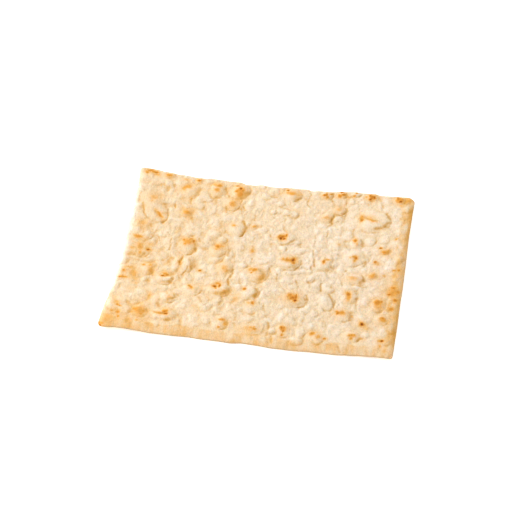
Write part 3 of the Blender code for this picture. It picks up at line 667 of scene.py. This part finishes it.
# A flat closed slab as cut from the sheet of dough: round rim, coarse below, three times finer above
def cutSlab():
    thick = bread["rim"] * mm
    bpy.ops.object.select_all(action="DESELECT")
    cellsX, cellsY = bread["cells"]
    bpy.ops.mesh.primitive_grid_add(x_subdivisions=cellsX, y_subdivisions=cellsY, size=1)
    slab = bpy.context.object
    slab.name = "blisteredBread"
    slab.scale = (bread["length"] * mm, bread["depth"] * mm, 1)
    bpy.ops.object.transform_apply(location=False, rotation=False, scale=True)
    bpy.ops.object.mode_set(mode="EDIT")
    bpy.ops.mesh.select_all(action="SELECT")
    bpy.ops.mesh.extrude_region_move(TRANSFORM_OT_translate={"value": (0, 0, thick)})
    bpy.ops.mesh.select_all(action="SELECT")
    bpy.ops.mesh.normals_make_consistent(inside=False)

    # The rim's edges are sharp (over 1 radian) and don't climb the cut side
    def onRim(edge):
        first, second = edge.verts
        return edge.calc_face_angle(0) > 1 and abs(first.co.z - second.co.z) < thick / 2

    pick(slab, "EDGE", onRim)
    rounding = bread["rimRound"] * thick
    bpy.ops.mesh.bevel(offset=rounding, offset_type="OFFSET", segments=3, profile=0.5, affect="EDGES")
    pick(slab, "FACE", lambda face: face.normal.z > 0.99)
    bpy.ops.mesh.subdivide(number_cuts=2)
    bpy.ops.object.mode_set(mode="OBJECT")
    print("slab cut:", len(slab.data.vertices), "vertices")
    return slab


# Mean of each vertex's neighbours, taken again and again
def softened(values, edges, rounds):
    a, b = edges[:, 0], edges[:, 1]
    count = np.bincount(a, minlength=len(values)) + np.bincount(b, minlength=len(values))
    for _ in range(rounds):
        total = np.bincount(a, values[b], len(values)) + np.bincount(b, values[a], len(values))
        values = total / count
    return values


# How toasted each point is, from 0 to 1: a dark core that fades into a wide golden halo
def toasted(x, y):
    edgeX, edgeY = waved(x, x, y, crust["spotX"]), waved(y, x, y, crust["spotY"])
    toast = np.zeros(x.shape)
    full, fade, sharp = crust["core"]
    glowPale, glowDark, glowSpread = crust["glow"]
    haloPale, haloDark, haloSpread = crust["halo"]
    for middleX, middleY, width, height, turn, dark in toastSpots:
        share = ovalShare(edgeX, edgeY, middleX, middleY, width, height, turn)
        soft = crust["paleSoft"] * between(dark, *crust["paleRange"])
        core = (full - crust["palePaler"] * soft) * dark * np.exp(-(fade - soft) * share ** sharp)
        glow = (glowPale + glowDark * dark) * np.exp(-share / glowSpread)
        toast += core ** bread["blend"]
        toast += glow ** bread["blend"]
        if dark > crust["haloFrom"]:
            halo = (haloPale + haloDark * dark) * min(1, width * height / crust["haloFull"])
            squared = (edgeX - middleX) ** 2 + (edgeY - middleY) ** 2
            toast += (halo * np.exp(-squared / haloSpread)) ** bread["blend"]
    return toast ** (1 / bread["blend"])


# How bare of flour, and so how golden, each point of the upper crust is, with painted shade on the flanks
# away from the lamp and in the hollows and creases, and a painted highlight on the flanks that face it
def goldAndPaintedLightOf(x, share, lee, lit, hollow, skin, warmShade, crumpled):
    goldAndPaintedLight = crust["leePaintedShade"] * share * between(lee, *crust["leeRange"]) - crust["litPaintedHighlight"] * lit
    # painted shade and less flour in the hollows
    goldAndPaintedLight += crust["hollowGoldAndShade"] * np.clip(hollow / crust["hollowDepth"], -1, 1)
    goldAndPaintedLight += crust["skinGold"] * skin + crust["creaseGoldAndShade"] * warmShade
    goldAndPaintedLight -= crust["leftGold"] * x / bread["length"]
    return goldAndPaintedLight - crust["flourAll"] - crust["crumpledFlour"] * (crumpled - 1)


# Painted light: how much lighter each point is, at the left front corner and along the front; painted shade
# at the left back
def paintedLightOf(x, y):
    alongX, alongY = crust["paintedLitCorner"]
    corner = between(x, *alongX) * between(y, *alongY)
    alongX, alongY = crust["paintedLitFront"]
    front = between(x, *alongX) * between(y, *alongY)
    middle, reach, less = crust["paintedDimPatch"]
    return corner + front - less * patch(x, y, middle, reach)


def shapeBread():
    slab = cutSlab()
    mesh = slab.data
    places = np.empty(len(mesh.vertices) * 3)
    mesh.vertices.foreach_get("co", places)
    flat = places.reshape(-1, 3) / mm
    x, y = flat[:, 0], flat[:, 1]
    level = flat[:, 2] / bread["rim"]  # 0 on the underside, 1 on top
    inward = inwards(x, y)
    share = innerShare(inward, bread["bands"])
    pillow = np.sin(0.5 * np.pi * share) ** bread["fullness"]
    newX, newY = outline(x, y)
    bumps, skin, creased, warmShade, crumpled = relief(newX, newY)
    bumps *= ease(innerShare(inward, bread["pressed"]))
    bend = curl(x, y)
    top = bend + bread["rim"] + (bread["crumb"] - bread["rim"]) * pillow + bumps
    under = bend + bread["underTurn"] * (1 - share) ** 2
    z = under + (top - under) * level
    shaped = np.stack([newX, newY, z], axis=1)
    low, high = shaped.min(axis=0), shaped.max(axis=0)
    shaped -= [(low[0] + high[0]) / 2, (low[1] + high[1]) / 2, low[2]]
    mesh.vertices.foreach_set("co", (shaped * mm).ravel())
    mesh.update()

    edges = np.empty(len(mesh.edges) * 2, dtype=int)
    mesh.edges.foreach_get("vertices", edges)
    edges = edges.reshape(-1, 2)
    normals = np.empty(len(mesh.vertices) * 3)
    mesh.vertex_normals.foreach_get("vector", normals)
    lee = softened(normals.reshape(-1, 3) @ crust["lee"], edges, crust["leeRounds"])
    # How far each point faces the lamp, for the painted highlight
    lit = np.clip(-lee / crust["litFull"], 0, 1)
    hollow = softened(bumps, edges, crust["hollowRounds"]) - bumps
    upper = between(level, 0.5, 1)
    waver = waved(0, x, y, crust["bandWaver"])
    mean, spacing, seed, tall, stretch = crust["bandMottle"]
    mottle = mean + tall * hills(x, stretch * y, spacing, seed)
    # The side bands: golden crust, with painted shade on the right and front
    bandGoldsAndShade = [
        strength * mottle * ease((width - inward[side] + waver) / crust["bandSoft"] + 0.5)
        for side, (width, strength) in crust["bandGoldAndShade"].items()
    ]
    leanX, leanY = leanBy(top - bend)
    # A painted highlight whitens the left side, between its two corners; the 0.5 guards against 0 / 0
    reach = crust["glareWidth"] * between(abs(y - crust["glareAt"]), *crust["glareTo"])
    glareShare = crust["glareShare"] * np.clip(1 - inward["left"] / (reach + 0.5), 0, 1) * np.clip(reach, 0, 1)
    looks = {
        "goldAndPaintedLight": goldAndPaintedLightOf(newX, share, lee, lit, hollow, skin, warmShade, crumpled) * upper,
        "marginGoldAndShade": np.maximum.reduce(bandGoldsAndShade),
        # The painted highlight on flanks that face the lamp hides a little of the toast
        "toast": toasted(newX - leanX, newY - leanY) * upper * (1 - crust["litHighlightHidesToast"] * lit),
        # painted shade in the creases and wrinkles
        "creaseShade": creased * upper,
        # painted light at the front left and along the front, painted shade at the left back
        "paintedLight": paintedLightOf(newX, newY),
        "glareWhite": glareShare,
        "crumpled": crumpled,
        "cut": between(level, 1, 0.75),
        "under": between(level, 0.25, 0),
    }
    for name, values in looks.items():
        mesh.attributes.new(name, "FLOAT", "POINT").data.foreach_set("value", values)
    bpy.ops.object.shade_smooth()
    print("bread shaped")
    return slab


crust = {
    # From thick flour to bare crust, which the painted shade and painted highlight also move along; then the
    # crust as the oven's heat browned it
    "goldAndPaintedLight": ((0.0, "#eee2d6"), (0.25, "#ebd9c1"), (0.5, "#e4cba7"), (0.75, "#e0b57a"), (1.0, "#d8a252")),
    "toast": ((0.0, "#e6be84"), (0.25, "#e4ad5c"), (0.5, "#d6923b"), (0.75, "#b8701f"), (1.0, "#85430d")),
    # white of the painted highlight along the left side
    "glareWhite": "#fffaf0",
    "underside": "#e0b57a",
    "underToast": "#bd8445",
    # cut side: its own greyish tan, partly painted shade
    "cut": "#bfa680",
    # Where the crust is bare of flour, 0 to 1, and where painted shade and painted highlight lie
    "lee": (0.80, -0.60, 0.0),  # flanks that face this way, away from the lamp, get painted shade, and blisters a deeper furrow on that side
    "leeRounds": 4,  # how far the slopes are evened out
    "leeRange": (0.08, 0.48),  # how far a flank must face that way
    # painted shade on the flanks that face away from the lamp
    "leePaintedShade": 0.7,
    "litFull": 0.3,  # flanks that face the lamp this far get the full painted highlight
    # painted highlight on the flanks that face the lamp
    "litPaintedHighlight": 0.2,
    "litHighlightHidesToast": 0.08,  # and the painted highlight hides this share of the toast
    "hollowRounds": 45,  # how wide the hollows are that count
    "hollowDepth": 0.5,  # mm
    # painted shade in the hollows, and less flour there
    "hollowGoldAndShade": 0.24,
    "skinGold": 0.1,
    # painted shade and less flour in the creases
    "creaseGoldAndShade": 0.38,
    "leftGold": 0.11,  # the left end is a little more golden than the right
    "flourAll": 0.06,
    "crumpledFlour": 0.2,
    # How wide each side's band is, and how golden: bare of flour, and painted shade on the right and front
    # that face away from the lamp
    "bandGoldAndShade": {"left": (3.0, 0.0), "right": (9.5, 0.36), "front": (9.5, 0.21), "back": (1.0, 0.1)},
    "bandSoft": 2.5,  # mm
    "bandWaver": ((1.6, 13, 61), (1.2, 5, 62)),  # of its edge
    "bandMottle": (0.85, 4.5, 63, 0.9, 0.3),  # mean, spacing, seed, height and stretch along Y
    # The painted highlight along the left side, white as flour
    "glareWidth": 8.5,  # mm wide
    "glareShare": 0.8,
    "glareAt": 8,  # y of its middle
    "glareTo": (84, 14),  # mm from there, where it ends and where it is full
    # Painted light: lighter places, from where to where along x and y; then a painted darker patch: middle,
    # reach, how much
    "paintedLitCorner": ((0, -110), (21, -49)),
    "paintedLitFront": ((-60, 0), (-76, -86)),
    "paintedDimPatch": ((-38, 32), (32, 38), 0.7),
    "spotX": ((0.7, 5, 51), (0.3, 2, 52)),  # the toast spots' edges wander too
    "spotY": ((0.7, 5, 53), (0.3, 2, 54)),
    "core": (1.15, 0.9, 1.2),  # of a spot: how dark, how soon it fades, how sharply it ends
    "paleRange": (0.62, 0.37),  # spots below the first are softer, below the second the softest
    "paleSoft": 0.3,
    "palePaler": 0.8,  # and this much less dark
    "glow": (0.18, 0.16, 8.0),  # round each: darkness, more of it for a dark spot, width
    "halo": (0.14, 0.26, 26.0),  # the same for a round halo further out
    "haloFrom": 0.44,  # only spots darker than this have one
    "haloFull": 13.0,  # mm2, smaller spots have a fainter one
    # Noises: mm of one grain, levels of finer detail, roughness
    "noises": {
        "grain": (1.5, 3, 0.55),  # clumps of flour
        "dust": (0.7, 2, 0.55),  # single specks, coarser than flour so that they show
        "blotch": (16.0, 3, 0.55),  # where the flour lies thicker or thinner
        "pits": (0.95, 3, 0.6),  # fine crumbs and pits, which lighten and darken
        "marks": (9.0, 4, 0.55),  # of the hot stone on the underside
    },
    "pitShape": (1.0, 0.6, 1.0),  # the lower, the longer the pits along that axis
    # Sums: a start, then how much each noise or painted value adds
    "sums": {
        # painted shade and painted highlight move the bareness along the gold scale
        "bareness": (0.255, {"goldAndPaintedLight": 1, "marginGoldAndShade": 1, "blotch": 0.4, "grain": 0.06, "dust": 0.03}),
        "heat": (-0.1, {"toast": 1, "grain": 0.14, "dust": 0.06}),
        # shade: random pits, painted shade darkening the creases, painted light at the front and front left
        "shade": (0.71, {"pits": 0.58, "creaseShade": -0.25, "paintedLight": 0.035}),
        "stone": (0, {"marks": 1, "blotch": 0.6}),
        "fine": (0, {"grain": 1, "dust": 0.8}),
    },
    # Soft steps: which sum, from where to where, and from which value to which
    "steps": {
        "browned": ("heat", 0.05, 0.4, 0, 1),
        "stoneMarks": ("stone", 0.72, 0.98, 0, 1),
        "roughness": ("heat", 0.2, 0.8, 0.88, 0.62),
    },
    "bump": (0.9, 0.5),  # strength, and height in mm
    "surface": {
        "Specular IOR Level": 0.12,
        "Subsurface Weight": 0.35,
        "Subsurface Radius": (1.0, 0.6, 0.35),
        "Subsurface Scale": 1.6 * mm,
    },
}


# Floury baked crust: matt, pale where flour sticks to the tops, golden where it has rubbed off
# or slid into the furrows, amber to dark brown where a blister stood up to the oven's heat. Painted shade
# darkens the furrows and the flanks that face away from the lamp; a painted highlight lightens those that
# face it
def crustMaterial():
    material = bpy.data.materials.new("flouryBakedCrust")
    material.use_nodes = True
    tree = material.node_tree
    shader = tree.nodes["Principled BSDF"]
    place = addNode(tree, "ShaderNodeTexCoord").outputs["Object"]
    inputs = {0: place, 1: crust["pitShape"]}
    stretched = addNode(tree, "ShaderNodeVectorMath", inputs, operation="MULTIPLY").outputs[0]

    # First the values painted on the vertices, then the noises, their sums and the soft steps
    fields = {}
    for name in ("goldAndPaintedLight", "marginGoldAndShade", "toast", "glareWhite", "creaseShade", "paintedLight", "cut", "under", "crumpled"):
        fields[name] = addNode(tree, "ShaderNodeAttribute", attribute_name=name).outputs["Fac"]
    for name, (size, detail, roughness) in crust["noises"].items():
        vector = stretched if name == "pits" else place
        inputs = {"Vector": vector, "Scale": perMetre(size), "Detail": detail, "Roughness": roughness}
        fields[name] = addNode(tree, "ShaderNodeTexNoise", inputs).outputs["Fac"]
    for name, (total, weights) in crust["sums"].items():
        for part, weight in weights.items():
            inputs = {0: fields[part], 1: weight, 2: total}
            total = addNode(tree, "ShaderNodeMath", inputs, operation="MULTIPLY_ADD").outputs[0]
        fields[name] = total
    for name, (driver, low, high, first, last) in crust["steps"].items():
        inputs = {"Value": fields[driver], "From Min": low, "From Max": high, "To Min": first, "To Max": last}
        step = addNode(tree, "ShaderNodeMapRange", inputs, interpolation_type="SMOOTHSTEP")
        fields[name] = step.outputs["Result"]

    scales = {}
    for name, driver in (("goldAndPaintedLight", "bareness"), ("toast", "heat")):
        scale = addNode(tree, "ShaderNodeValToRGB", {"Fac": fields[driver]})
        marks = scale.color_ramp.elements
        while len(marks) < len(crust[name]):
            marks.new(0.5)
        for mark, (position, hexColour) in zip(marks, crust[name]):
            mark.position = position
            mark.color = linear(hexColour)
        scales[name] = scale.outputs["Color"]

    # The cut side is a greyish tan, partly its own colour and partly painted shade where it turns down to the
    # floor; the underside lay on the hot stone and is browner, in patches.
    # A mix node for colours has its share as input 0, the colours as 6 and 7, and gives output 2
    inputs = {0: fields["stoneMarks"], 6: linear(crust["underside"]), 7: linear(crust["underToast"])}
    below = addNode(tree, "ShaderNodeMix", inputs, data_type="RGBA").outputs[2]
    colour = scales["goldAndPaintedLight"]
    # Toast browns the crust, then the painted highlight along the left side whitens it
    for name, cover in (("browned", scales["toast"]), ("glareWhite", linear(crust["glareWhite"]))):
        inputs = {0: fields[name], 6: colour, 7: cover}
        colour = addNode(tree, "ShaderNodeMix", inputs, data_type="RGBA").outputs[2]
    # Darker and lighter by the shade sum, which holds painted shade and painted light
    inputs = {0: colour, "Scale": fields["shade"]}
    colour = addNode(tree, "ShaderNodeVectorMath", inputs, operation="SCALE").outputs[0]
    for name, cover in (("cut", linear(crust["cut"])), ("under", below)):
        inputs = {0: fields[name], 6: colour, 7: cover}
        colour = addNode(tree, "ShaderNodeMix", inputs, data_type="RGBA").outputs[2]
    tree.links.new(colour, shader.inputs["Base Color"])
    tree.links.new(fields["roughness"], shader.inputs["Roughness"])

    inputs = {0: fields["fine"], 1: fields["crumpled"]}
    height = addNode(tree, "ShaderNodeMath", inputs, operation="MULTIPLY").outputs[0]
    strength, tall = crust["bump"]
    inputs = {"Height": height, "Strength": strength, "Distance": tall * mm}
    tree.links.new(addNode(tree, "ShaderNodeBump", inputs).outputs["Normal"], shader.inputs["Normal"])
    for name, value in crust["surface"].items():
        shader.inputs[name].default_value = value
    return material


addCamera()
addStudio()
piece = shapeBread()
piece.data.materials.append(crustMaterial())
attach(piece, "root")
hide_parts("flatbread")
print("crust finished")
